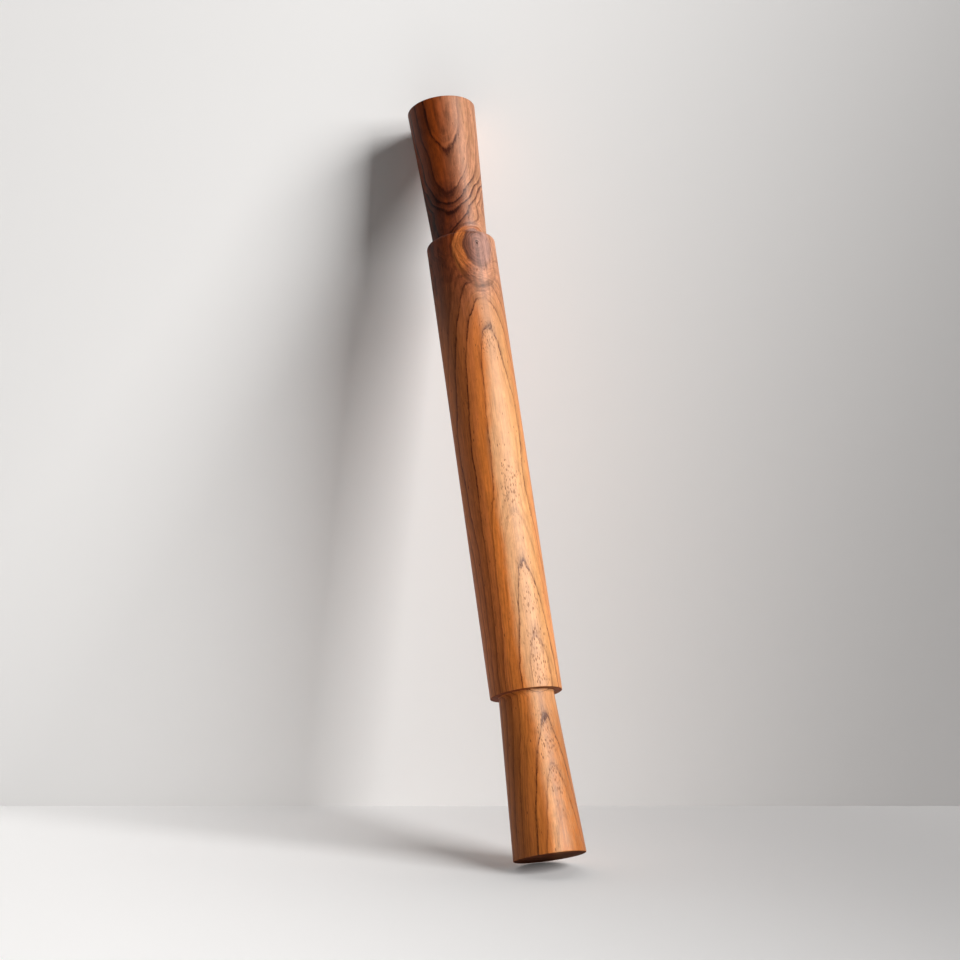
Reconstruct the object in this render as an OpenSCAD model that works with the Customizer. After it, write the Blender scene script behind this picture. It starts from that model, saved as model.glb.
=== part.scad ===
// French rolling pin, turned from one billet, with a branch knot at the upper shoulder.
// The pin stands on its lower end: +Z runs along its axis, and the origin is the centre of that
// end. The side with the knot faces -Y and is turned a little towards +X.

/* [Barrel] */
// Diameter of the barrel
barrel_d = 45; // [38:0.5:60]
// Length of the barrel, from shoulder to shoulder
barrel_l = 303; // [200:1:420]
// Rounding of the barrel's upper rim
upper_rim_r = 3; // [0.5:0.5:3.5]
// Rounding of the barrel's lower rim, which is left almost sharp
lower_rim_r = 0.4; // [0.2:0.1:2]

/* [Lower handle] */
// Length of the lower handle
lower_handle_l = 100; // [70:1:160]
// Diameter of the lower handle at the shoulder
lower_neck_d = 34.4; // [28:0.2:36]
// Diameter of the lower handle at its end
lower_end_d = 44.8; // [36:0.2:48]

/* [Upper handle] */
// Length of the upper handle
upper_handle_l = 97; // [70:1:160]
// Diameter of the upper handle at the shoulder
upper_neck_d = 35.4; // [28:0.2:36]
// Diameter of the upper handle at its end
upper_end_d = 45.2; // [36:0.2:48]

/* [Ends] */
// Rounding of the edge round both end faces
end_edge_r = 0.8; // [0.2:0.1:2]

/* [Knot] */
// Distance of the knot's centre below the upper shoulder
knot_drop = 9.7; // [4:0.1:60]
// Turn of the knot from the front of the pin towards +X
knot_turn = 28; // [0:1:90]
// Angle at which the branch leaves the wood, down from square across the pin
knot_tilt = 30; // [0:1:40]
// Diameter of the branch where it meets the barrel's surface
knot_d = 27; // [16:0.5:30]
// Depth to which the branch reaches into the pin
knot_depth = 24; // [12:1:28]
// Diameter of the branch at its inner end
knot_root_d = 9; // [4:0.5:14]
// Gap all round between the dried knot and the wood about it
knot_gap = 0.05; // [0.02:0.01:0.2]
// Width of the three-sided pith hole in the knot
pith_w = 1.8; // [0.6:0.1:3]
// Depth of the pith hole
pith_depth = 3; // [1:0.5:8]

/* [Hidden] */
$fn = 96;
// Straight steps in each rounded edge
edge_steps = 8;
// Heights of the two shoulders and of the upper end
lower_shoulder_z = lower_handle_l;
upper_shoulder_z = lower_shoulder_z + barrel_l;
pin_l = upper_shoulder_z + upper_handle_l;
// Growth of the branch's radius for each millimetre outwards
knot_flare = (knot_d - knot_root_d) / 2 / knot_depth;
// Length of branch beyond the surface, so that its cut end clears the barrel
knot_spare = barrel_d / 2;

// Corners of the turned outline from the lower end to the upper: radius, height, rounding
OUTLINE = [
    [0, 0, 0],
    [lower_end_d / 2, 0, end_edge_r],
    [lower_neck_d / 2, lower_shoulder_z, 0],
    [barrel_d / 2, lower_shoulder_z, lower_rim_r],
    [barrel_d / 2, upper_shoulder_z, upper_rim_r],
    [upper_neck_d / 2, upper_shoulder_z, 0],
    [upper_end_d / 2, pin_l, end_edge_r],
    [0, pin_l, 0],
];

function unit(v) = v / norm(v);

function corner_place(i) = [OUTLINE[i][0], OUTLINE[i][1]];

// Points of an arc that rounds corner i between its two straight edges
function rounded_corner(i) =
    let (
        r = OUTLINE[i][2],
        place = corner_place(i),
        back = unit(corner_place(i - 1) - place),
        on = unit(corner_place(i + 1) - place),
        half = acos(back * on) / 2,
        centre = place + unit(back + on) * r / sin(half),
        from = unit(place + back * r / tan(half) - centre),
        to = unit(place + on * r / tan(half) - centre)
    )
    [for (k = [0 : edge_steps])
        let (t = k / edge_steps, swing = 180 - 2 * half)
        centre + r * (sin((1 - t) * swing) * from + sin(t * swing) * to) / sin(swing)];

// The whole turned shape, as it comes off the lathe
module turned_blank() {
    rotate_extrude()
        polygon([for (i = [0 : len(OUTLINE) - 1])
            each (OUTLINE[i][2] > 0 ? rounded_corner(i) : [corner_place(i)])]);
}

// Moves what is built along +Z, outwards from the surface, to the knot's place and direction
module at_knot() {
    translate([0, 0, upper_shoulder_z - knot_drop])
        rotate([0, 0, knot_turn - 90])
            translate([barrel_d / 2, 0, 0])
                rotate([0, 90 + knot_tilt, 0])
                    children();
}

// The branch, a cone that widens outwards, with its sides moved out by a gap
module branch(gap) {
    at_knot()
        translate([0, 0, -knot_depth - gap])
            cylinder(
                h = knot_depth + knot_spare + gap,
                r1 = knot_root_d / 2 + gap,
                r2 = knot_d / 2 + knot_spare * knot_flare + gap);
}

module pin_body() {
    color("peru") difference() {
        turned_blank();
        branch(knot_gap);
    }
}

module knot() {
    color("rosybrown") difference() {
        intersection() {
            turned_blank();
            branch(0);
        }
        // The open pith, three-sided, from the surface inwards
        at_knot()
            translate([0, 0, -pith_depth])
                cylinder(h = pith_depth + knot_spare, d = pith_w, $fn = 3);
    }
}

pin_body();
knot();
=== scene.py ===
"""French rolling pin in oiled teak: the turned billet, the branch knot in it, and the stage it leans on.

Lengths are in millimetres in the tables, in the defaults of settings and in the figure of the wood, and in
metres elsewhere. The pin stands on its lower end at the origin with +Z along its axis, and the side with the
knot faces -Y.
"""

import math

import bmesh
import bpy
from mathutils import Matrix, Vector, noise


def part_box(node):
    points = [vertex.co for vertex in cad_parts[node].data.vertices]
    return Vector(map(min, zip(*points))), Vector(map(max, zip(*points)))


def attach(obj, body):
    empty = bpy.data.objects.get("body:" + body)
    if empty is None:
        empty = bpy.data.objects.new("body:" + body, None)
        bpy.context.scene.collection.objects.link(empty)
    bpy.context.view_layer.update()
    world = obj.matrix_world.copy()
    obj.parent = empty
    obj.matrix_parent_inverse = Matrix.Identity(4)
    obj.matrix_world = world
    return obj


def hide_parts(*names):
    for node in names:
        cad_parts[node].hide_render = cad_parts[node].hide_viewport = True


bl_info = {
    "name": "French Rolling Pin",
    "version": (1, 0, 0),
    "blender": (4, 5, 0),
    "location": "View3D > Sidebar > Rolling Pin",
    "description": "Builds a turned teak rolling pin with a grown-in knot on a pale studio stage",
    "category": "Add Mesh",
}

MM = 0.001

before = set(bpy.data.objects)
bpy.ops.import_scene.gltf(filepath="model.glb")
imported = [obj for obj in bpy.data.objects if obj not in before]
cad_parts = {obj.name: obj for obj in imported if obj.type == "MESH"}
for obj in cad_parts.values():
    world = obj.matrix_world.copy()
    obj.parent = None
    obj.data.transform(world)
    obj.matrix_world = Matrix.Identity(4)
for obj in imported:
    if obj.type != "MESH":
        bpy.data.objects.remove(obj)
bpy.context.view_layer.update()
BODY_LOW, BODY_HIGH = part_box("pin_body")
PIN_LENGTH = BODY_HIGH.z - BODY_LOW.z

# Mesh steps round each corner of the turned outline, round the branch and along it
CORNER_STEPS = 12
BRANCH_SIDES = 144
BRANCH_ROWS = 24
# Edges sharper than this stay crisp in the shading
CREASE = math.radians(38)

# The side that faces the camera, as an angle round the pin from +X
CAMERA_SIDE = math.radians(-90.4)

# Values that change along the pin: height, value
PROFILES = {
    # Where the growth rings come nearest to the surface, in degrees to the right of the camera
    "front": [
        (0, 34), (60, 31), (140, 30), (215, 24), (240, 26), (265, 31), (280, 32), (300, 29), (320, 25),
        (345, 25), (385, 12), (425, -8), (460, 1), (500, 0),
    ],
    # Number of rings already cut away at that place. It grows towards the knot.
    "cut": [
        (0, -1.6), (30, -1.05), (60, -0.4), (84, 0.2), (97, 0.25), (99.5, -0.52), (137, 0.1), (155, 0.5),
        (180, 1.05), (200, 1.65), (220, 2.3), (230, 2.45), (240, 2.5), (265, 2.48), (280, 2.48), (300, 2.6),
        (318, 2.68), (328, 2.78), (337, 2.95), (345, 3.22), (358, 3.5), (365, 3.65), (385, 4.6), (400, 5.1),
        (412, 5.29), (419, 4.98), (425, 4.04), (431, 3.28), (440, 3.02), (446, 2.94), (456, 2.9),
        (463, 2.78), (470, 2.53), (478, 2.23), (500, 2.18),
    ],
    # Thickness of one ring, which in quickly grown teak is 4 to 13 mm
    "thick": [
        (0, 5.7), (120, 5.4), (155, 5.8), (180, 6.2), (200, 7.6), (220, 10.2), (240, 11.6), (265, 12.6),
        (280, 11.6), (300, 10.4), (318, 8.5), (330, 7.8), (345, 7.6), (358, 7), (385, 8), (403, 11),
        (412, 10), (420, 6.6), (428, 5.2), (440, 7), (463, 9), (480, 8), (500, 8),
    ],
    # How steeply the rings rise along the pin, as a share of their rise across it
    "rise": [
        (0, 0.1), (325, 0.1), (340, 0.3), (365, 0.35), (405, 0.4), (415, 0.75), (434, 0.75), (444, 0.3),
        (500, 0.3),
    ],
    # Where pale wood turns to orange, in millimetres to the left of the pin's middle
    "orange": [
        (0, -1), (60, -1), (95, -0.5), (110, 0.5), (200, 1), (240, 1.5), (270, -1.5), (300, -4), (330, -5),
        (360, -2), (500, 3),
    ],
    # Share of places that have an open pore, in front of the rings that come nearest
    "pores": [
        (0, 0.03), (30, 0.04), (38, 0.75), (49, 0.8), (54, 0.04), (60, 0.5), (82, 0.75), (88, 0.03),
        (98, 0.03), (102, 0.7), (134, 0.8), (140, 0.04), (150, 0.4), (176, 0.5), (184, 0.03), (212, 0.05),
        (218, 0.8), (240, 0.95), (247, 0.03), (310, 0.03), (320, 0.6), (335, 0.75), (341, 0.03),
        (500, 0.03),
    ],
    # Share of purple-brown stain above the knot and to its left
    "stain": [
        (0, 0), (350, 0), (372, 0.45), (400, 0.6), (412, 0.85), (430, 0.75), (444, 0.2), (462, 0), (500, 0),
    ],
    # How strongly light and dark grain differ
    "contrast": [
        (0, 1.6), (100, 1.5), (125, 1.1), (340, 1), (362, 2.3), (400, 2.6), (412, 1.9), (500, 1.8),
    ],
    # Share of reddish heartwood
    "heart": [
        (0, 0.75), (60, 0.7), (90, 0.5), (115, 0.15), (160, 0), (240, 0.02), (285, 0.12), (320, 0.25),
        (335, 0.38), (350, 0.6), (370, 0.85), (400, 0.95), (500, 0.95),
    ],
}
# The same values on the back, away from the knot, where they don't change along the pin
BACK = {"thick": 8.0, "front": 20.0, "heart": 0.35, "pores": 0.03}
# Number of rings that are cut away there between the pin's two ends
BACK_CUT = 3.0

# Strength of the dark line that ends each ring, by ring number: to the left of the place where the rings
# come nearest, at that place, and to its right; then for the low part and the upper handle
LINES = {
    "left": [
        (-2, 0), (-1, 0.05), (0, 0.35), (1, 0.95), (2, 0.1), (3, 0.85), (4, 1), (5, 0.9), (6, 0.4), (7, 0.2),
        (10, 0.3), (14, 0.3),
    ],
    "tip": [
        (-2, 0), (-1, 0.05), (0, 0.8), (1, 0.95), (2, 0.15), (3, 0.95), (4, 0.2), (5, 0.1), (6, 0.2),
        (14, 0.3),
    ],
    "right": [
        (-2, 0), (-1, 0.05), (0, 0.35), (1, 0.65), (2, 0.1), (3, 0.9), (4, 0.65), (5, 0.5), (6, 0.4),
        (7, 0.3), (14, 0.4),
    ],
    "low": [
        (-2, 0), (-1, 0.05), (0, 0.6), (1, 0.95), (2, 0.15), (3, 0.55), (4, 0.6), (5, 0.5), (14, 0.35),
    ],
    "upper": [
        (-2, 0.2), (1, 0.2), (2, 0.2), (3, 1), (4, 0.8), (5, 1), (6, 1), (7, 1), (8, 0.6), (10, 0.6),
        (14, 0.5),
    ],
}
FIRST_RING, LAST_RING = -2, 14

# Noises: millimetres between bumps across and along the grain, detail and roughness. The first three make
# the rings and their lines wander. Teak's fibres lie in bundles 0.3 to 1 mm wide, and the last is those.
NOISES = {
    "wander": (24, 110, 2, 0.5),
    "ripple": (3.5, 11, 5, 0.65),
    "break": (5, 26, 3, 0.5),
    "mottle": (3.2, 7, 5, 0.7),
    "streak": (2.4, 60, 3, 0.6),
    "fibre": (0.8, 14, 3, 0.6),
}

# The rings form a ridge along the pin: the slope of its sides, the roundness of its top, and the further
# steepening of its sides
RIDGE_SLOPE = 0.35
RIDGE_TOP = 3.0
RIDGE_BEND = 1 / 200
# Beside the branch it bulges by this many rings, and the bulge dies away over about this distance
BULGE_RINGS = 2.4
BULGE_REACH = 8.0

# The room about the pin, which leans back on a wall: its directions, and where the pin touches it
ROOM_UP = Vector((0.14211, -0.32664, 0.93440)).normalized()
WALL_OUT = Vector((-0.00697, -0.94429, -0.32904)).normalized()
FLOOR_TOUCH = Vector((-0.00893, 0.02054, 0.0))
WALL_TOUCH = Vector((0.00016, 0.02260, 0.5))
# Width of the floor and of the wall
SHEET = 3.2
# Where their colour turns from the lit left one to the painted shade of the right one, past the pin's foot
PAINTED_SHADE_START, PAINTED_SHADE_END = -0.38, 0.3
# Distances from the foot over which the light that they throw falls off, and those of the shade right under
# it, with the share of light that is left there
FALL_START, FALL_END = 0.1, 0.5
SHADE_START, SHADE_END, SHADE_LEVEL = 0.02, 0.06, 0.25
# What they show to the gloss of the pin, as a share of their colour: less than a whole pale room would
GLOSS_LEVEL = 0.55
# Colour that the camera sees beyond them
BEYOND = "#D8D5D4"

# The key light: what it aims at, and its angles up from square to the pin and to the right of the camera
KEY_AIM = Vector((0, 0, 0.25))
KEY_RISE = math.radians(7)
KEY_TURN = math.radians(54)

# The camera: its place, the directions to its right and back from it, and its lens in millimetres
CAMERA_PLACE = (-0.00934, -1.24138, -0.12543)
CAMERA_RIGHT = Vector((0.98983, 0.04024, -0.13647))
CAMERA_BACK = Vector((0.0, -0.95917, -0.28284))
FOCAL_LENGTH = 76.396
SENSOR_WIDTH = 36.0

# Settings that many nodes share
SMOOTH = {"interpolation_type": "SMOOTHSTEP"}
BLEND = {"data_type": "RGBA"}
TINT = {"data_type": "RGBA", "blend_type": "MULTIPLY"}


def linear(hex_colour):
    """Turns an sRGB hex colour into the linear colour that a node takes."""
    parts = [int(hex_colour[i : i + 2], 16) / 255 for i in (1, 3, 5)]
    return tuple(c / 12.92 if c <= 0.04045 else ((c + 0.055) / 1.055) ** 2.4 for c in parts) + (1.0,)


def add(tree, kind, inputs=(), stops=(), points=(), **settings):
    """Adds one node with its settings, the stops of its ramp or the points of its curve, and its links.

    The kind may be followed by an operation. Inputs go by socket name, or else in the order of the sockets
    that the settings leave in use.
    """
    kind, _, operation = kind.partition(" ")
    node = tree.nodes.new("ShaderNode" + kind)
    if operation:
        node.operation = operation
    for name, value in settings.items():
        setattr(node, name, value)
    # A new ramp or curve has its two end points, so these come first
    for i, (place, level) in enumerate([*stops[:1], *stops[-1:], *stops[1:-1]]):
        ramp = node.color_ramp.elements
        stop = ramp[i] if i < 2 else ramp.new(place)
        stop.position = place
        stop.color = (level, level, level, 1.0)
    for i, place in enumerate([*points[:1], *points[-1:], *points[1:-1]]):
        curve = node.mapping.curves[0].points
        point = curve[i] if i < 2 else curve.new(*place)
        point.location = place
        point.handle_type = "AUTO_CLAMPED"
    if points:
        node.mapping.update()
    used = [socket for socket in node.inputs if socket.enabled]
    for key, value in inputs.items() if isinstance(inputs, dict) else enumerate(inputs):
        socket = used[key] if isinstance(key, int) else next(s for s in used if s.name == key)
        if isinstance(value, bpy.types.Node):
            value = next(s for s in value.outputs if s.enabled)
        if isinstance(value, bpy.types.NodeSocket):
            tree.links.new(value, socket)
        else:
            socket.default_value = value
    return node


def empty_tree(owner):
    """The node tree of a material or world, with nothing in it."""
    owner.use_nodes = True
    owner.node_tree.nodes.clear()
    return owner.node_tree


def colour_setting(name, description, hex_colour):
    """A colour that a user can change, with its default as sRGB hex."""
    return bpy.props.FloatVectorProperty(
        name=name, description=description, default=linear(hex_colour), size=4, min=0.0, max=1.0,
        subtype="COLOR",
    )


def length_setting(name, description, default, low=0.0):
    """A length that a user can change, with its default and its lowest value in millimetres."""
    return bpy.props.FloatProperty(
        name=name, description=description, default=default * MM, min=low * MM, unit="LENGTH"
    )


class TurnedShape(bpy.types.PropertyGroup):
    """Sizes of the turned billet."""

    barrel_width: length_setting("Barrel width", "Diameter of the straight barrel", 45, 30)
    lower_shoulder: length_setting("Lower shoulder", "Height at which the barrel begins", 100, 50)
    upper_shoulder: length_setting("Upper shoulder", "Height at which the barrel ends", 403, 200)
    lower_end_width: length_setting("Lower end width", "Diameter of the lower handle's end", 44.8, 20)
    lower_neck_width: length_setting("Lower neck width", "Diameter of the lower handle's neck", 34.4, 20)
    upper_neck_width: length_setting("Upper neck width", "Diameter of the upper handle's neck", 35.4, 20)
    upper_end_width: length_setting("Upper end width", "Diameter of the upper handle's end", 45.2, 20)
    upper_rim: length_setting("Upper rim", "Rounding of the barrel's upper rim", 3, 0.2)
    lower_rim: length_setting("Lower rim", "Rounding of the barrel's lower rim", 0.4, 0.1)
    end_edge: length_setting("End edge", "Rounding round both end faces", 0.8, 0.1)
    cove: length_setting("Neck cove", "Hollow left by the tool's tip where neck meets shoulder", 0.5, 0.1)
    row: length_setting("Row height", "Height of a mesh row on the straight lengths", 2.5, 0.5)
    around: bpy.props.IntProperty(
        name="Steps around", description="Mesh columns round the pin", default=192, min=48, max=512
    )


class KnotShape(bpy.types.PropertyGroup):
    """Sizes of the branch that the billet has grown round."""

    height: length_setting("Height", "Height of the knot's centre above the lower end", 393.3)
    width: length_setting("Width", "Diameter of the branch at the barrel's surface", 27)
    depth: length_setting("Depth", "How far the branch reaches into the pin", 24)
    root_width: length_setting("Root width", "Diameter of the branch at its inner end", 9)
    gap: length_setting("Gap", "Hairline between the knot and the wood about it", 0.02)
    pith_width: length_setting("Pith width", "Width of the three-sided pith hole", 1.8)
    pith_depth: length_setting("Pith depth", "Depth of the pith hole", 3)
    turn: bpy.props.FloatProperty(
        name="Turn", description="Turn from the front of the pin towards +X", default=math.radians(28),
        subtype="ANGLE",
    )
    tilt: bpy.props.FloatProperty(
        name="Tilt", description="Angle at which the branch leaves the wood, down from square across the pin",
        default=math.radians(30), subtype="ANGLE",
    )


class TeakLook(bpy.types.PropertyGroup):
    """Colours and gloss of the oiled teak."""

    pale: colour_setting("Pale wood", "Flat-sawn wood on the side with the knot", "#D69D6E")
    golden: colour_setting("Golden wood", "Wood to the right of the pale wood", "#C68D56")
    orange: colour_setting("Orange wood", "Wood to the left of the pale wood", "#D27633")
    brown: colour_setting("Brown wood", "Wood farther to the left, and at the right edge", "#CD7238")
    heart: colour_setting("Heartwood", "Reddish wood round the knot and in the upper handle", "#B67D5C")
    low_heart: colour_setting("Low heartwood", "Brown wood in the lower handle", "#9D5A26")
    stain: colour_setting("Stained wood", "Purple-brown wood above the knot and to its left", "#65301F")
    # Darker colour towards the left, from 270 mm up
    dark_upper_left: colour_setting("Dark heartwood", "Heartwood on the left of the knot", "#8A3D12")
    line: colour_setting("Ring line", "Tint of the dark line that ends each year's growth", "#6E5558")
    pore: colour_setting("Pore", "Open pores, dark with oil", "#51290F")
    # The end-grain tint is partly the oiled end grain and partly painted shade on the ends and ledges
    end_grain_and_shade: colour_setting("End grain", "Tint of the end grain, which drinks more oil", "#B39A80")
    roughness: bpy.props.FloatProperty(
        name="Roughness", description="Roughness of the oiled surface", default=0.4, min=0.05, max=1.0,
        subtype="FACTOR",
    )


class KnotLook(bpy.types.PropertyGroup):
    """Colours of the branch knot."""

    core: colour_setting("Core", "Branch wood, on the right", "#A37A6C")
    core_edge: colour_setting("Dark core", "Branch wood, on the left", "#713E29")
    pith: colour_setting("Pith", "Inside of the open pith, in shade", "#1A130E")
    shell: colour_setting("Crescent", "Orange wood that has grown round the left of the branch", "#AE6130")


class StudioStage(bpy.types.PropertyGroup):
    """Light and backdrop."""

    key_power: bpy.props.FloatProperty(
        name="Key light", description="Power of the soft key light, in watts", default=545.0, min=0.0
    )
    key_size: length_setting("Key size", "Width of the soft key light", 3300, 50)
    key_distance: length_setting("Key distance", "Distance from the pin to the key light", 6000, 500)
    fill: bpy.props.FloatProperty(
        name="Fill light", description="Strength of the even light from all round", default=0.05, min=0.0
    )
    # The right-hand colours are painted shade, seen by the camera alone, where the light falls off
    wall_left: colour_setting("Wall, left", "Colour of the wall on the left", "#FCFAF8")
    wall_right_shaded: colour_setting("Wall, right", "Colour of the wall on the right", "#A19F9E")
    floor_left: colour_setting("Floor, left", "Colour of the floor on the left", "#FCFBFA")
    floor_right_shaded: colour_setting("Floor, right", "Colour of the floor on the right", "#A9A8A8")


def round_axis(radius, turn, height=0.0):
    """A point at a radius and an angle round +Z."""
    return Vector((radius * math.cos(turn), radius * math.sin(turn), height))


def rounded_outline(shape):
    """The turned outline from the centre of the lower end to that of the upper: radius and height."""
    corners = [
        (0, 0, 0),
        (shape.lower_end_width / 2, 0, shape.end_edge),
        (shape.lower_neck_width / 2, shape.lower_shoulder, shape.cove),
        (shape.barrel_width / 2, shape.lower_shoulder, shape.lower_rim),
        (shape.barrel_width / 2, shape.upper_shoulder, shape.upper_rim),
        (shape.upper_neck_width / 2, shape.upper_shoulder, shape.cove),
        (shape.upper_end_width / 2, PIN_LENGTH, shape.end_edge),
        (0, PIN_LENGTH, 0),
    ]
    outline = [Vector((0, 0))]
    for last, (radius, height, rounding), following in zip(corners, corners[1:], corners[2:]):
        place = Vector((radius, height))
        back = (Vector(last[:2]) - place).normalized()
        on = (Vector(following[:2]) - place).normalized()
        half = back.angle(on) / 2
        centre = place + (back + on).normalized() * rounding / math.sin(half)
        start = place + back * rounding / math.tan(half)
        end = place + on * rounding / math.tan(half)
        straight(outline, start, shape.row)
        swing = math.pi - 2 * half
        for k in range(1, CORNER_STEPS + 1):
            before, after = math.sin((1 - k / CORNER_STEPS) * swing), math.sin(k / CORNER_STEPS * swing)
            outline.append(centre + (before * (start - centre) + after * (end - centre)) / math.sin(swing))
    straight(outline, Vector((0, PIN_LENGTH)), shape.row)
    return outline


def straight(outline, end, row):
    """Carries the outline on to a point in even steps."""
    start = outline[-1].copy()
    steps = max(1, math.ceil((end - start).length / row))
    for k in range(1, steps + 1):
        outline.append(start.lerp(end, k / steps))


def lathe_wander(x, y, z):
    """How far the surface lies inside the true circle, in metres, by hand turning and later shrinkage.

    Swells 60 to 110 mm long are up to 0.03 mm deep, and ripples 17 to 25 mm long half of that.
    """
    swell = noise.noise(Vector((x * 18, y * 18, z * 9 + 3.1)))
    ripple = noise.noise(Vector((x * 40 + 7.7, y * 40, z * 60)))
    return MM * (0.03 * (swell + 1) / 2 + 0.015 * (ripple + 1) / 2)


def join_rings(mesh, rings):
    """Adds the faces between each ring of points and the next."""
    for low, high in zip(rings, rings[1:]):
        for k in range(len(low)):
            mesh.faces.new((low[k - 1], low[k], high[k], high[k - 1]))


def turned_solid(shape):
    """A closed mesh of the whole turned shape, as it comes off the lathe."""
    mesh = bmesh.new()
    rings = []
    for r, z in rounded_outline(shape)[1:-1]:
        ring = []
        for k in range(shape.around):
            turn = 2 * math.pi * k / shape.around
            x, y = math.cos(turn), math.sin(turn)
            # The end faces are true at their middle
            inner = r - lathe_wander(r * x, r * y, z) * min(1.0, r / 0.015)
            ring.append(mesh.verts.new((inner * x, inner * y, z)))
        rings.append(ring)
    join_rings(mesh, rings)
    for ring, z in ((rings[0], 0.0), (rings[-1], PIN_LENGTH)):
        centre = mesh.verts.new((0, 0, z))
        for k in range(shape.around):
            mesh.faces.new((ring[k - 1], ring[k], centre))
    bmesh.ops.recalc_face_normals(mesh, faces=mesh.faces)
    return mesh


def knot_place(knot, barrel_width):
    """The matrix that puts what is built along +Z, outwards from the surface, at the knot."""
    return (
        Matrix.Translation((0, 0, knot.height))
        @ Matrix.Rotation(knot.turn - math.pi / 2, 4, "Z")
        @ Matrix.Translation((barrel_width / 2, 0, 0))
        @ Matrix.Rotation(math.pi / 2 + knot.tilt, 4, "Y")
    )


def stacked_solid(place, stack):
    """A closed mesh through rings of points, carried to a place by its matrix."""
    mesh = bmesh.new()
    rings = [[mesh.verts.new(place @ point) for point in ring] for ring in stack]
    join_rings(mesh, rings)
    mesh.faces.new(rings[0])
    mesh.faces.new(rings[-1])
    bmesh.ops.recalc_face_normals(mesh, faces=mesh.faces)
    return mesh


def branch_cone(knot, place, gap, reach):
    """A closed cone of branch wood that widens outwards, its sides moved out by a gap."""
    flare = (knot.width - knot.root_width) / 2 / knot.depth
    low = -knot.depth - gap
    stack = []
    for j in range(BRANCH_ROWS + 1):
        h = low + (reach - low) * j / BRANCH_ROWS
        # Its columns are turned a little, so that none lies on one of the pin's
        stack.append([
            round_axis(knot.width / 2 + flare * h + gap, 2 * math.pi * (k + 0.37) / BRANCH_SIDES, h)
            for k in range(BRANCH_SIDES)
        ])
    return stacked_solid(place, stack)


def pith_cutter(knot, place):
    """The open pith: a three-sided hole that narrows inwards, with its corners at uneven distances."""
    outside = 0.004
    stack = []
    for h, share in ((-knot.pith_depth, 0.35), (-0.4 * knot.pith_depth, 0.9), (outside, 1.25)):
        stack.append([
            round_axis(share * far * knot.pith_width / 2, math.radians(turn), h)
            for turn, far in ((10, 1.1), (128, 0.95), (245, 1.05))
        ])
    return stacked_solid(place, stack)


def linked_object(name, data):
    """Makes an object of a mesh, lamp or camera, in the scene."""
    item = bpy.data.objects.new(name, data)
    bpy.context.scene.collection.objects.link(item)
    return item


def mesh_object(name, mesh):
    """Makes an object of a bmesh."""
    data = bpy.data.meshes.new(name)
    mesh.to_mesh(data)
    mesh.free()
    return linked_object(name, data)


def combine(piece, cutter, operation):
    """Cuts a piece with a solid, or keeps what they share, and removes the solid."""
    step = piece.modifiers.new(operation, "BOOLEAN")
    step.operation = operation
    step.solver = "EXACT"
    step.object = cutter
    bpy.context.view_layer.update()
    graph = bpy.context.evaluated_depsgraph_get()
    result = bpy.data.meshes.new_from_object(piece.evaluated_get(graph), depsgraph=graph)
    if not result.polygons:
        raise RuntimeError(f"nothing is left of {piece.name} after {operation}")
    piece.modifiers.clear()
    used_up = (piece.data, cutter.data)
    piece.data = result
    result.name = piece.name
    bpy.data.objects.remove(cutter)
    for data in used_up:
        bpy.data.meshes.remove(data)


def finish_piece(piece, node, slot):
    """Smooths the shading, gives the wood, hangs the piece on the root body and hides its CAD part."""
    piece.data.shade_smooth()
    piece.data.set_sharp_from_angle(angle=CREASE)
    piece.data.materials.clear()
    piece.data.materials.append(wood(slot))
    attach(piece, "root")
    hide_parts(node)


def height_profiles(tree, height, back):
    """The values that change along the pin, as curves over its length, and even on the back."""
    share = add(tree, "Math DIVIDE", (height, PIN_LENGTH / MM))
    curves = {}
    for name, profile in PROFILES.items():
        low = min(value for _, value in profile)
        span = max(value for _, value in profile) - low
        top = profile[-1][0]
        points = [(h / top, (value - low) / span) for h, value in profile]
        curve = add(tree, "FloatCurve", {"Value": share}, points=points)
        curves[name] = add(tree, "Math MULTIPLY_ADD", (curve, span, low))
    cut = add(tree, "Math MULTIPLY", (share, BACK_CUT))
    for name, even in {"cut": cut, **BACK}.items():
        curves[name] = add(tree, "Mix", (back, curves[name], even))
    return curves


def grain_noises(tree, place):
    """The noises in the grain, each about 0."""
    noises = {}
    for name, (across, along, detail, roughness) in NOISES.items():
        scaled = add(tree, "VectorMath MULTIPLY", (place, (1 / across, 1 / across, 1 / along)))
        bumps = add(tree, "TexNoise", {
            "Vector": scaled, "Scale": 1.0, "Detail": detail, "Roughness": roughness,
        })
        noises[name] = add(tree, "Math SUBTRACT", (bumps, 0.5))
    return noises


def from_branch(tree, place):
    """A place as the branch has it: +Z outwards from the surface, +X down the pin and +Y to the right."""
    scene = bpy.context.scene
    at = knot_place(scene.pin_knot, scene.pin_shape.barrel_width)
    return add(tree, "Mapping", {"Vector": place, "Location": at.translation / MM, "Rotation": at.to_euler()},
               vector_type="TEXTURE")


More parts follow.
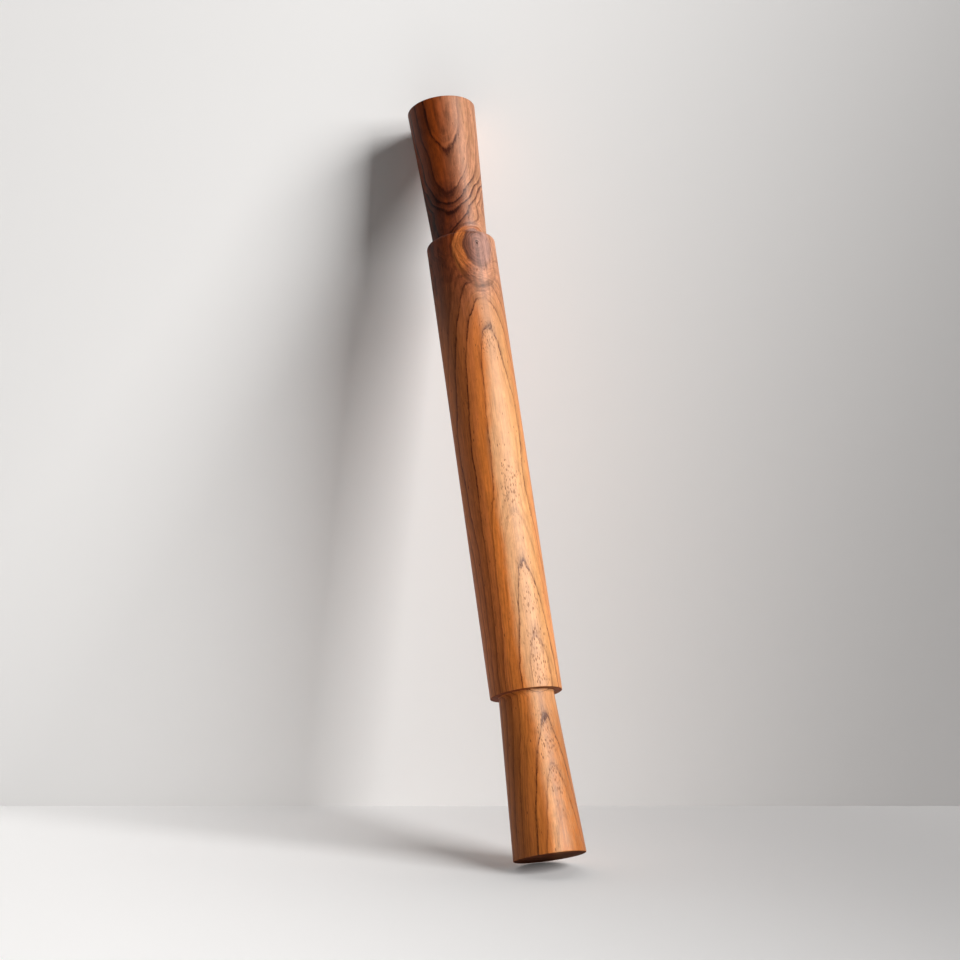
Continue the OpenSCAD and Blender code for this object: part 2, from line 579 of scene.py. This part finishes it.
def about_branch(tree, place):
    """Place about the branch's axis, uneven by about a millimetre, as the grain round a branch is.

    It comes as a vector, the distances down the pin, to the right and from the axis, the last of them as a
    share of the branch's radius, and the distance from the branch's surface.
    """
    knot = bpy.context.scene.pin_knot
    bumps = add(tree, "VectorMath SCALE", (place, 1 / 7))
    bumps = add(tree, "TexNoise", {"Vector": bumps, "Scale": 1.0, "Detail": 4.0, "Roughness": 0.6})
    bumps = add(tree, "VectorMath ADD", (bumps.outputs["Color"], (-0.5, -0.5, -0.5)))
    uneven = add(tree, "VectorMath MULTIPLY_ADD", (bumps, (2.6, 2.6, 2.6), place))
    branch = from_branch(tree, uneven)
    down, right, out = add(tree, "SeparateXYZ", (branch,)).outputs
    away = add(tree, "VectorMath MULTIPLY", (branch, (1, 1, 0)))
    away = add(tree, "VectorMath LENGTH", (away,))
    # Behind its inner end the wood is undisturbed
    behind = add(tree, "MapRange", (out, -26, -45, 0, 40))
    away = add(tree, "Math ADD", (away, behind))
    flare = (knot.width - knot.root_width) / 2 / knot.depth
    radius = add(tree, "Math MULTIPLY_ADD", (out, flare, knot.width / MM / 2))
    radius = add(tree, "Math MAXIMUM", (radius, 3.0))
    reach = add(tree, "Math DIVIDE", (away, radius))
    clear = add(tree, "Math SUBTRACT", (away, radius))
    return branch, down, right, away, reach, clear


def ring_number(tree, place, curves, noises, clear):
    """Growth rings, counted inwards: the turn to where they come nearest, the side of it, and the number."""
    turn = add(tree, "Math MULTIPLY_ADD", (curves["front"], -math.pi / 180, -CAMERA_SIDE))
    turned = add(tree, "VectorRotate", {"Vector": place, "Angle": turn}, rotation_type="Z_AXIS")
    outward, side, _ = add(tree, "SeparateXYZ", (turned,)).outputs
    square = add(tree, "Math MULTIPLY", (side, side))
    ridge = add(tree, "Math ADD", (square, RIDGE_TOP**2))
    ridge = add(tree, "Math SQRT", (ridge,))
    surface = bpy.context.scene.pin_shape.barrel_width / MM / 2 - RIDGE_SLOPE * RIDGE_TOP
    deep = add(tree, "Math SUBTRACT", (surface, outward))
    for value, factor in (
        (square, RIDGE_BEND), (ridge, RIDGE_SLOPE), (noises["wander"], 2.5), (noises["ripple"], 2.6),
        (noises["fibre"], 1.0),
    ):
        deep = add(tree, "Math MULTIPLY_ADD", (value, factor, deep))
    ring = add(tree, "Math DIVIDE", (deep, curves["thick"]))
    ring = add(tree, "Math ADD", (ring, curves["cut"]))
    bulge = add(tree, "Math MAXIMUM", (clear, 0.0))
    bulge = add(tree, "Math DIVIDE", (bulge, -BULGE_REACH))
    bulge = add(tree, "Math EXPONENT", (bulge,))
    ring = add(tree, "Math MULTIPLY_ADD", (bulge, BULGE_RINGS, ring))
    return turn, side, ring


def line_profile(tree, normal, height, curves, noises, turn, side, ring):
    """The dark latewood line at the end of each ring: sharp on its outer side and soft inwards.

    Its width is that on the surface, however flat the rings are cut there.
    """
    facing = add(tree, "VectorRotate", {"Vector": normal, "Angle": turn}, rotation_type="Z_AXIS")
    facing = add(tree, "SeparateXYZ", (facing,)).outputs["X"]
    slope = add(tree, "Math MULTIPLY", (facing, facing))
    slope = add(tree, "Math SUBTRACT", (1.04, slope))
    slope = add(tree, "Math MULTIPLY_ADD", (curves["rise"], curves["rise"], slope))
    slope = add(tree, "Math SQRT", (slope,))
    within = add(tree, "Math WRAP", (ring, 0.8, -0.2))
    within = add(tree, "Math MULTIPLY", (within, curves["thick"]))
    within = add(tree, "Math DIVIDE", (within, slope))
    # The lines are wider in the upper handle and at the tips of the arches, and uneven all along
    narrow = add(tree, "MapRange", (height, 290, 410, 1.0, 0.55))
    narrow = add(tree, "Math MULTIPLY_ADD", (noises["break"], 1.6, narrow))
    tip = add(tree, "Math ABSOLUTE", (side,))
    tip = add(tree, "MapRange", (tip, 1.5, 5.0, -0.4, 0.0))
    narrow = add(tree, "Math ADD", (narrow, tip))
    narrow = add(tree, "Math MAXIMUM", (narrow, 0.3))
    within = add(tree, "Math MULTIPLY", (within, narrow))
    # The ramp spans 8 mm, and the line begins at a quarter of it
    within = add(tree, "Math MULTIPLY_ADD", (within, 1 / 8, 0.25))
    return add(tree, "ValToRGB", (within,), stops=[
        (0.0, 0.0), (0.17, 0.0), (0.21, 0.35), (0.245, 1.0), (0.3, 0.9), (0.35, 0.45), (0.5, 0.12),
        (1.0, 0.0),
    ])


def ring_lines(tree, line, height, noises, reach, side, ring):
    """The lines with the strength that each has on the left, at the tips and on the right, low and high."""
    span = LAST_RING - FIRST_RING
    number = add(tree, "Math ADD", (ring, -FIRST_RING))
    number = add(tree, "Math DIVIDE", (number, span))
    strength = {}
    for name, profile in LINES.items():
        points = [((n - FIRST_RING) / span, value) for n, value in profile]
        strength[name] = add(tree, "FloatCurve", {"Value": number}, points=points)
    mixed = strength["tip"]
    for name, value, start, end in (
        ("right", side, 1.5, 6.0), ("left", side, -1.5, -6.0), ("low", height, 235, 190),
        ("upper", height, 385, 405),
    ):
        share = add(tree, "MapRange", (value, start, end))
        mixed = add(tree, "Mix", (share, mixed, strength[name]))
    line = add(tree, "Math MULTIPLY", (line, mixed))
    # They are fainter on the right of the upper handle
    faint = add(tree, "MapRange", (side, 6, 11, 0, 0.6))
    upward = add(tree, "MapRange", (height, 438, 455))
    faint = add(tree, "Math MULTIPLY", (faint, upward))
    faint = add(tree, "Math SUBTRACT", (1.0, faint))
    # They end at the wood that is pressed together round the branch, and are broken up a little
    outside = add(tree, "MapRange", (reach, 1.35, 1.55))
    broken = add(tree, "MapRange", (noises["mottle"], -0.16, 0.02, 0.35))
    for factor in (faint, outside, broken):
        line = add(tree, "Math MULTIPLY", (line, factor))
    return line


def open_pores(tree, place, curves, side):
    """Open pores, in clusters at the tips of the arches.

    In teak they are 0.2 to 0.3 mm wide, and short grooves where they are cut lengthwise. They are drawn at
    about twice that width, so that they show.
    """
    cells = add(tree, "VectorMath MULTIPLY", (place, (1 / 0.75, 1 / 0.75, 1 / 2.7)))
    cells = add(tree, "TexVoronoi", {"Vector": cells, "Scale": 1.0, "Randomness": 1.0}, feature="F1")
    pick = add(tree, "SeparateColor", (cells.outputs["Color"],))
    pore = add(tree, "MapRange", (cells.outputs["Distance"], 0.48, 0.25))
    density = add(tree, "Math ABSOLUTE", (side,))
    density = add(tree, "MapRange", (density, 3.0, 7.5), **SMOOTH)
    density = add(tree, "Mix", (density, curves["pores"], 0.03))
    few = add(tree, "Math LESS_THAN", (pick.outputs["Red"], density))
    pore = add(tree, "Math MULTIPLY", (pore, few))
    depth = add(tree, "MapRange", (pick.outputs["Green"], 0.0, 1.0, 0.35))
    return add(tree, "Math MULTIPLY", (pore, depth))


def billet_colour(tree, x, height, back, curves, noises):
    """Pale wood in the middle, golden on the right, orange and then brown on the left, red by the knot."""
    look = bpy.context.scene.pin_look
    left = add(tree, "Math MULTIPLY_ADD", (back, 0.7, -1.0))
    left = add(tree, "Math MULTIPLY", (x, left))
    for name, shift in (("wander", 7.0), ("ripple", 4.0)):
        left = add(tree, "Math MULTIPLY_ADD", (noises[name], shift, left))
    from_edge = add(tree, "Math SUBTRACT", (left, curves["orange"]))
    colour = look.pale
    for value, start, end, most, tone in (
        # Half the brown also darkens the right edge
        (left, -12, -20, 1.0, look.golden), (left, -17, -22, 0.5, look.brown),
        (from_edge, -4.8, 2.5, 1.0, look.orange), (from_edge, 4.5, 8.5, 1.0, look.brown),
    ):
        share = add(tree, "MapRange", (value, start, end, 0.0, most), **SMOOTH)
        colour = add(tree, "Mix", (share, colour, tone), **BLEND)

    # Heartwood, brown low down and red high up, and a darker colour towards the left high up
    leftward = add(tree, "MapRange", (left, -14, 6), **SMOOTH)
    upward = add(tree, "MapRange", (height, 270, 400))
    dark = add(tree, "Math MULTIPLY", (leftward, upward))
    heart = add(tree, "Mix", (upward, look.low_heart, look.heart), **BLEND)
    heart = add(tree, "Mix", (dark, heart, look.dark_upper_left), **BLEND)
    low = add(tree, "MapRange", (left, -9.0, -5.5, 0.9, 0.35))
    for start, end, most in ((-3, 1, 0.65), (-12, -18, 0.4)):
        more = add(tree, "MapRange", (left, start, end, 0.0, most))
        low = add(tree, "Math ADD", (low, more))
    high = add(tree, "Math ADD", (leftward, 1.0))
    weight = add(tree, "Mix", (upward, low, high))
    share = add(tree, "Math MULTIPLY", (weight, curves["heart"]))
    uneven = add(tree, "Math MULTIPLY_ADD", (noises["mottle"], 1.5, 1.0))
    share = add(tree, "Math MULTIPLY", (share, uneven), use_clamp=True)
    colour = add(tree, "Mix", (share, colour, heart), **BLEND)

    share = add(tree, "MapRange", (left, -11, 1))
    share = add(tree, "Math MULTIPLY", (share, curves["stain"]))
    uneven = add(tree, "Math MULTIPLY_ADD", (noises["ripple"], 3.0, 0.9))
    share = add(tree, "Math MULTIPLY", (share, uneven), use_clamp=True)
    return add(tree, "Mix", (share, colour, look.stain), **BLEND)


def grain_shade(tree, curves, noises, ring, within):
    """Light and dark along the grain. A year's wood is deepest just inside its line."""
    shade = add(tree, "ValToRGB", (within,), stops=[
        (0.0, 0.9), (0.06, 0.9), (0.3, 0.97), (0.7, 1.0), (0.9, 1.0), (1.0, 0.98),
    ])
    bands = add(tree, "Math MULTIPLY", (ring, 6.0))
    bands = add(tree, "TexNoise", {"W": bands, "Scale": 1.0, "Detail": 3.0, "Roughness": 0.7},
                noise_dimensions="1D")
    bands = add(tree, "Math SUBTRACT", (bands, 0.5))
    uneven = add(tree, "Math MULTIPLY", (bands, 0.45))
    for name, factor in (("mottle", 0.75), ("streak", 0.4)):
        uneven = add(tree, "Math MULTIPLY_ADD", (noises[name], factor, uneven))
    uneven = add(tree, "Math MULTIPLY", (uneven, curves["contrast"]))
    for name, factor in (("fibre", 0.8), ("wander", 0.3)):
        uneven = add(tree, "Math MULTIPLY_ADD", (noises[name], factor, uneven))
    return add(tree, "Math ADD", (uneven, shade))


def pressed_wood(tree, colour, shells, reach, side):
    """The fibres pressed together round the branch: fine lines, and one dark line where they end."""
    rims = add(tree, "Math MULTIPLY", (reach, 0.5))
    rims = add(tree, "ValToRGB", (rims,), stops=[
        (0.0, 1.0), (0.56, 1.0), (0.6, 0.95), (0.64, 0.8), (0.67, 0.5), (0.69, 0.45), (0.71, 0.85),
        (0.76, 1.0), (1.0, 1.0),
    ])
    rims = add(tree, "Math MULTIPLY", (rims, shells))
    pressed = add(tree, "MapRange", (reach, 1.75, 1.35), **SMOOTH)
    pressed = add(tree, "Math MULTIPLY", (pressed, 0.75))
    beside = add(tree, "MapRange", (side, 0.5, 0.1, 0.3))
    pressed = add(tree, "Math MULTIPLY", (pressed, beside))
    purple = add(tree, "MapRange", (side, -0.45, 0.1, 0.0, 0.55))
    purple = add(tree, "Math MULTIPLY", (pressed, purple))
    colour = add(tree, "Mix", (purple, colour, bpy.context.scene.pin_knot_look.core), **BLEND)
    return add(tree, "Mix", (pressed, colour, rims), **TINT)


def crescent(tree, colour, noises, shells, reach, side, below):
    """The crescent of orange wood on the left of the branch and above it, with the dark lines in it."""
    leftward = add(tree, "MapRange", (side, -0.35, -0.75), **SMOOTH)
    fine = add(tree, "Math MULTIPLY_ADD", (noises["ripple"], 0.5, reach))
    fine = add(tree, "Math MULTIPLY", (fine, 0.5))
    fine = add(tree, "ValToRGB", (fine,), stops=[
        (0.0, 0.6), (0.37, 0.5), (0.4, 1.15), (0.43, 0.7), (0.46, 1.2), (0.49, 0.8), (0.52, 1.25),
        (0.54, 0.7), (0.58, 1.3), (0.63, 1.1), (0.67, 0.5), (1.0, 0.7),
    ])
    fine = add(tree, "Mix", (0.8, fine, shells), **TINT)
    orange = add(tree, "Mix", (0.95, bpy.context.scene.pin_knot_look.shell, fine), **TINT)
    outer = add(tree, "Math MULTIPLY_ADD", (below, -0.2, reach))
    outer = add(tree, "MapRange", (outer, 1.36, 1.26), **SMOOTH)
    above = add(tree, "MapRange", (below, -0.45, -0.85, 0.0, 0.85))
    leftward = add(tree, "Math MAXIMUM", (leftward, above))
    share = add(tree, "Math MULTIPLY", (outer, leftward))
    return add(tree, "Mix", (share, colour, orange), **BLEND)


def branch_core(tree, colour, noises, shells, right, reach, side, below):
    """The branch's own wood, purple-brown, darker on its left, with dark rings just inside that edge."""
    look = bpy.context.scene.pin_knot_look
    rightward = add(tree, "MapRange", (right, -9, 9), **SMOOTH)
    core = add(tree, "Mix", (rightward, look.core_edge, look.core), **BLEND)
    shade = add(tree, "Math MULTIPLY_ADD", (shells, 0.45, 0.55))
    for name, factor in (("mottle", 0.8), ("streak", 1.4), ("fibre", 1.2)):
        shade = add(tree, "Math MULTIPLY_ADD", (noises[name], factor, shade))
    core = add(tree, "Mix", (1.0, core, shade), **TINT)
    # It is taller than wide, and its edge is softer on the right
    edge = add(tree, "Math MULTIPLY", (below, below))
    edge = add(tree, "Math MULTIPLY_ADD", (edge, 0.05, 0.82))
    edge = add(tree, "Math MULTIPLY_ADD", (side, 0.07, edge))
    blur = add(tree, "MapRange", (side, -0.6, 0.6, 0.06, 0.25))
    start = add(tree, "Math ADD", (edge, blur))
    stop = add(tree, "Math SUBTRACT", (edge, blur))
    inside = add(tree, "MapRange", (reach, start, stop), **SMOOTH)
    rings = add(tree, "Math DIVIDE", (reach, edge))
    rings = add(tree, "ValToRGB", (rings,), stops=[
        (0.0, 1.1), (0.55, 1.1), (0.6, 0.7), (0.66, 1.1), (0.73, 0.6), (0.79, 1.0), (0.88, 0.45), (0.94, 0.8),
        (1.0, 0.4),
    ])
    share = add(tree, "MapRange", (side, 0.2, -0.5, 0.0, 0.9))
    core = add(tree, "Mix", (share, core, rings), **TINT)
    return add(tree, "Mix", (inside, colour, core), **BLEND)


def branch_colour(tree, colour, noises, branch, down, right, away, reach):
    """The wood round the branch and the branch itself, laid over the colour of the billet."""
    level = add(tree, "Math MAXIMUM", (away, 1.0))
    side = add(tree, "Math DIVIDE", (right, level))
    below = add(tree, "Math DIVIDE", (down, level))
    # Fine shells round the axis, which change slowly along themselves
    rounds = add(tree, "Math MULTIPLY", (reach, 9.0))
    slow = add(tree, "VectorMath SCALE", (branch, 1 / 12))
    slow_down, slow_right, _ = add(tree, "SeparateXYZ", (slow,)).outputs
    shells = add(tree, "CombineXYZ", (rounds, slow_down, slow_right))
    shells = add(tree, "TexNoise", {"Vector": shells, "Scale": 1.0, "Detail": 4.0, "Roughness": 0.65})
    shells = add(tree, "MapRange", (shells, 0.32, 0.68, 0.35, 1.5))
    colour = pressed_wood(tree, colour, shells, reach, side)
    colour = crescent(tree, colour, noises, shells, reach, side, below)
    return branch_core(tree, colour, noises, shells, right, reach, side, below)


def pith_hollow(tree, place):
    """How deep in the pith hole a place is, from 0 to 0.85."""
    x, y, z = add(tree, "SeparateXYZ", (from_branch(tree, place),)).outputs
    off_axis = add(tree, "Math MULTIPLY", (x, x))
    off_axis = add(tree, "Math MULTIPLY_ADD", (y, y, off_axis))
    narrow = add(tree, "MapRange", (off_axis, 4.0, 2.0))
    inwards = add(tree, "MapRange", (z, -0.4, -0.8, 0.0, 0.85))
    hollow = add(tree, "Math MULTIPLY", (narrow, inwards))
    floor = -bpy.context.scene.pin_knot.pith_depth / MM - 1.0
    above_floor = add(tree, "Math GREATER_THAN", (z, floor))
    return add(tree, "Math MULTIPLY", (hollow, above_floor))


def teak_figure():
    """Teak grown round a branch, in object space, so that rings, pores and fibres run through the wood."""
    look, knot_look = bpy.context.scene.pin_look, bpy.context.scene.pin_knot_look
    tree = bpy.data.node_groups.new("teak_figure", "ShaderNodeTree")
    for name, kind in (("Colour", "Color"), ("Roughness", "Float"), ("Height", "Float")):
        tree.interface.new_socket(name, in_out="OUTPUT", socket_type="NodeSocket" + kind)
    coord = add(tree, "TexCoord")
    place = add(tree, "VectorMath SCALE", (coord.outputs["Object"], 1 / MM))
    x, y, height = add(tree, "SeparateXYZ", (place,)).outputs
    back = add(tree, "MapRange", (y, 0, 16), **SMOOTH)
    curves = height_profiles(tree, height, back)
    noises = grain_noises(tree, place)
    branch, down, right, away, reach, clear = about_branch(tree, place)
    turn, side, ring = ring_number(tree, place, curves, noises, clear)
    within = add(tree, "Math FRACT", (ring,))

    colour = billet_colour(tree, x, height, back, curves, noises)
    shade = grain_shade(tree, curves, noises, ring, within)
    colour = add(tree, "Mix", (1.0, colour, shade), **TINT)
    line = line_profile(tree, coord.outputs["Normal"], height, curves, noises, turn, side, ring)
    line = ring_lines(tree, line, height, noises, reach, side, ring)
    colour = add(tree, "Mix", (line, colour, look.line), **TINT)
    colour = branch_colour(tree, colour, noises, branch, down, right, away, reach)
    # Painted shade inside the pith hole, darker with depth
    colour = add(tree, "Mix", (pith_hollow(tree, place), colour, knot_look.pith), **BLEND)
    # End grain drinks more oil than the sides do, and is darker and duller. Part of its darkness is painted
    # shade, on the end faces and on the ledges of the shoulders.
    upright = add(tree, "SeparateXYZ", (coord.outputs["Normal"],)).outputs["Z"]
    upright = add(tree, "Math ABSOLUTE", (upright,))
    ends = add(tree, "MapRange", (upright, 0.7, 0.95))
    colour = add(tree, "Mix", (ends, colour, look.end_grain_and_shade), **TINT)
    pore = open_pores(tree, place, curves, side)
    dark = add(tree, "Math MULTIPLY", (pore, 0.85))
    colour = add(tree, "Mix", (dark, colour, look.pore), **BLEND)

    # Pores are dull and sunk, and the fibres stand up a little
    rough = look.roughness
    for value, factor in ((noises["mottle"], 0.1), (pore, 0.2), (ends, 0.3)):
        rough = add(tree, "Math MULTIPLY_ADD", (value, factor, rough))
    relief = add(tree, "Math MULTIPLY", (noises["fibre"], 0.5))
    relief = add(tree, "Math SUBTRACT", (relief, pore))
    end = tree.nodes.new("NodeGroupOutput")
    tree.links.new(colour.outputs[2], end.inputs["Colour"])
    tree.links.new(rough.outputs[0], end.inputs["Roughness"])
    tree.links.new(relief.outputs[0], end.inputs["Height"])
    return tree


def wood(name):
    """Teak, turned, sanded fine and wiped with oil.

    The oil gives a satin sheen and deep colour, and leaves the pores open. It wets only the top of the
    fibres, so the sheen is about half of a closed coat's. The knot's denser wood has the same finish.
    """
    material = bpy.data.materials.new(name)
    tree = empty_tree(material)
    figure = bpy.data.node_groups.get("teak_figure") or teak_figure()
    group = add(tree, "Group", node_tree=figure)
    bump = add(tree, "Bump", {"Height": group.outputs["Height"], "Strength": 0.6, "Distance": 0.00006})
    surface = add(tree, "BsdfPrincipled", {
        "Base Color": group.outputs["Colour"], "Roughness": group.outputs["Roughness"], "Normal": bump,
        "IOR": 1.46, "Specular IOR Level": 0.24,
    })
    add(tree, "OutputMaterial", {"Surface": surface})
    return material


class PIN_OT_body(bpy.types.Operator):
    """Build the turned billet: both handles, the shoulders and the barrel, with the seat of the knot"""

    bl_idname = "rolling_pin.body"
    bl_label = "Turned Body"

    def execute(self, context):
        shape, knot = context.scene.pin_shape, context.scene.pin_knot
        place = knot_place(knot, shape.barrel_width)
        piece = mesh_object("turned_body", turned_solid(shape))
        seat = branch_cone(knot, place, knot.gap, shape.barrel_width / 2)
        combine(piece, mesh_object("seat", seat), "DIFFERENCE")
        finish_piece(piece, "pin_body", "oiled_teak")
        return {"FINISHED"}


class PIN_OT_knot(bpy.types.Operator):
    """Build the branch knot, with its open pith"""

    bl_idname = "rolling_pin.knot"
    bl_label = "Branch Knot"

    def execute(self, context):
        shape, knot = context.scene.pin_shape, context.scene.pin_knot
        place = knot_place(knot, shape.barrel_width)
        piece = mesh_object("branch_knot", turned_solid(shape))
        branch = branch_cone(knot, place, 0.0, shape.barrel_width / 2)
        combine(piece, mesh_object("branch", branch), "INTERSECT")
        combine(piece, mesh_object("pith", pith_cutter(knot, place)), "DIFFERENCE")
        finish_piece(piece, "knot", "knot_wood")
        return {"FINISHED"}


def sheet(name, centre, across, up, darker, left, right, near, far):
    """A plain matt painted sheet that faces the pin and is unseen from behind.

    To the camera it is darker on the side that `darker` points to: painted shade for the fall of the light
    across it. The light it throws on the pin is that of its lighter side, times `near` by the pin's foot and
    `far` beyond.
    """
    mesh = bmesh.new()
    corners = [centre + (across * x + up * y) * SHEET / 2 for x, y in ((-1, -1), (1, -1), (1, 1), (-1, 1))]
    mesh.faces.new([mesh.verts.new(c) for c in corners])
    piece = mesh_object(name, mesh)
    material = bpy.data.materials.new(name)
    tree = empty_tree(material)
    place = add(tree, "TexCoord").outputs["Object"]
    ray = add(tree, "LightPath")
    seen = ray.outputs["Is Camera Ray"]
    # Painted shade towards `darker`, for camera rays only: the pin is lit by the lighter colour
    beside = add(tree, "VectorMath DOT_PRODUCT", (place, darker))
    share = add(tree, "MapRange", (beside, PAINTED_SHADE_START, PAINTED_SHADE_END), **SMOOTH)
    share = add(tree, "Math MULTIPLY", (share, seen))
    tone = add(tree, "Mix", (share, left, right), **BLEND)
    away = add(tree, "VectorMath LENGTH", (place,))
    level = add(tree, "MapRange", (away, FALL_START, FALL_END, near, far))
    under = add(tree, "MapRange", (away, SHADE_START, SHADE_END, SHADE_LEVEL))
    gloss = add(tree, "MapRange", (ray.outputs["Is Glossy Ray"], 0.0, 1.0, 1.0, GLOSS_LEVEL))
    for factor in (under, gloss):
        level = add(tree, "Math MULTIPLY", (level, factor))
    level = add(tree, "Math MAXIMUM", (level, seen))
    tone = add(tree, "Mix", (1.0, tone, level), **TINT)
    paint = add(tree, "BsdfDiffuse", {"Color": tone})
    backfacing = add(tree, "NewGeometry").outputs["Backfacing"]
    hide = add(tree, "Math MULTIPLY", (backfacing, seen))
    both = add(tree, "MixShader", (hide, paint, add(tree, "BsdfTransparent")))
    add(tree, "OutputMaterial", {"Surface": both})
    piece.data.materials.append(material)


class PIN_OT_stage(bpy.types.Operator):
    """Set up the pale floor and wall, the soft studio light and the camera"""

    bl_idname = "rolling_pin.stage"
    bl_label = "Studio Stage"

    def execute(self, context):
        scene = context.scene
        stage = scene.pin_stage
        across = ROOM_UP.cross(WALL_OUT).normalized()
        line = FLOOR_TOUCH + WALL_OUT * (WALL_TOUCH - FLOOR_TOUCH).dot(WALL_OUT)
        # Each sheet is painted darker towards the right, as shade where the light falls off
        sheet("floor", line + WALL_OUT * SHEET / 2, across, -WALL_OUT, across - 0.4 * WALL_OUT,
              stage.floor_left, stage.floor_right_shaded, near=0.88, far=0.22)
        sheet("wall", line + ROOM_UP * SHEET / 2, across, ROOM_UP, across - 0.4 * ROOM_UP,
              stage.wall_left, stage.wall_right_shaded, near=1.0, far=1.0)

        lamp = bpy.data.lights.new("key", "AREA")
        lamp.shape = "SQUARE"
        lamp.size = stage.key_size
        lamp.energy = stage.key_power
        key = linked_object("key", lamp)
        away = round_axis(math.cos(KEY_RISE), CAMERA_SIDE + KEY_TURN, math.sin(KEY_RISE))
        key.location = KEY_AIM + away * stage.key_distance
        key.rotation_euler = away.to_track_quat("Z", "Y").to_euler()

        scene.world = bpy.data.worlds.new("room")
        tree = empty_tree(scene.world)
        seen = add(tree, "LightPath").outputs["Is Camera Ray"]
        even = add(tree, "Background", {"Color": linear("#FFFFFF"), "Strength": stage.fill})
        pale = add(tree, "Background", {"Color": linear(BEYOND), "Strength": 1.0})
        add(tree, "OutputWorld", {"Surface": add(tree, "MixShader", (seen, even, pale))})

        lens = bpy.data.cameras.new("camera")
        lens.sensor_width = SENSOR_WIDTH
        lens.lens = FOCAL_LENGTH
        lens.clip_start = 0.01
        camera = linked_object("camera", lens)
        axes = Matrix((CAMERA_RIGHT, CAMERA_BACK.cross(CAMERA_RIGHT), CAMERA_BACK)).transposed()
        camera.matrix_world = Matrix.Translation(CAMERA_PLACE) @ axes.to_4x4()
        scene.camera = camera
        scene.view_settings.view_transform = "Standard"
        return {"FINISHED"}


class PIN_PT_panel(bpy.types.Panel):
    """Sizes and steps of the rolling pin"""

    bl_label = "Rolling Pin"
    bl_idname = "PIN_PT_panel"
    bl_space_type = "VIEW_3D"
    bl_region_type = "UI"
    bl_category = "Rolling Pin"

    def draw(self, context):
        layout = self.layout
        for name in GROUPS:
            box = layout.box()
            group = getattr(context.scene, name)
            for key in group.__annotations__:
                box.prop(group, key)
        for operator in STEPS:
            layout.operator(operator.bl_idname)


GROUPS = {
    "pin_shape": TurnedShape,
    "pin_knot": KnotShape,
    "pin_look": TeakLook,
    "pin_knot_look": KnotLook,
    "pin_stage": StudioStage,
}
STEPS = (PIN_OT_body, PIN_OT_knot, PIN_OT_stage)
CLASSES = tuple(GROUPS.values()) + STEPS + (PIN_PT_panel,)


def register():
    for item in CLASSES:
        bpy.utils.register_class(item)
    for name, group in GROUPS.items():
        setattr(bpy.types.Scene, name, bpy.props.PointerProperty(type=group))


def unregister():
    for name in GROUPS:
        delattr(bpy.types.Scene, name)
    for item in reversed(CLASSES):
        bpy.utils.unregister_class(item)


def main():
    register()
    bpy.ops.rolling_pin.body()
    bpy.ops.rolling_pin.knot()
    bpy.ops.rolling_pin.stage()


if __name__ == "__main__":
    main()
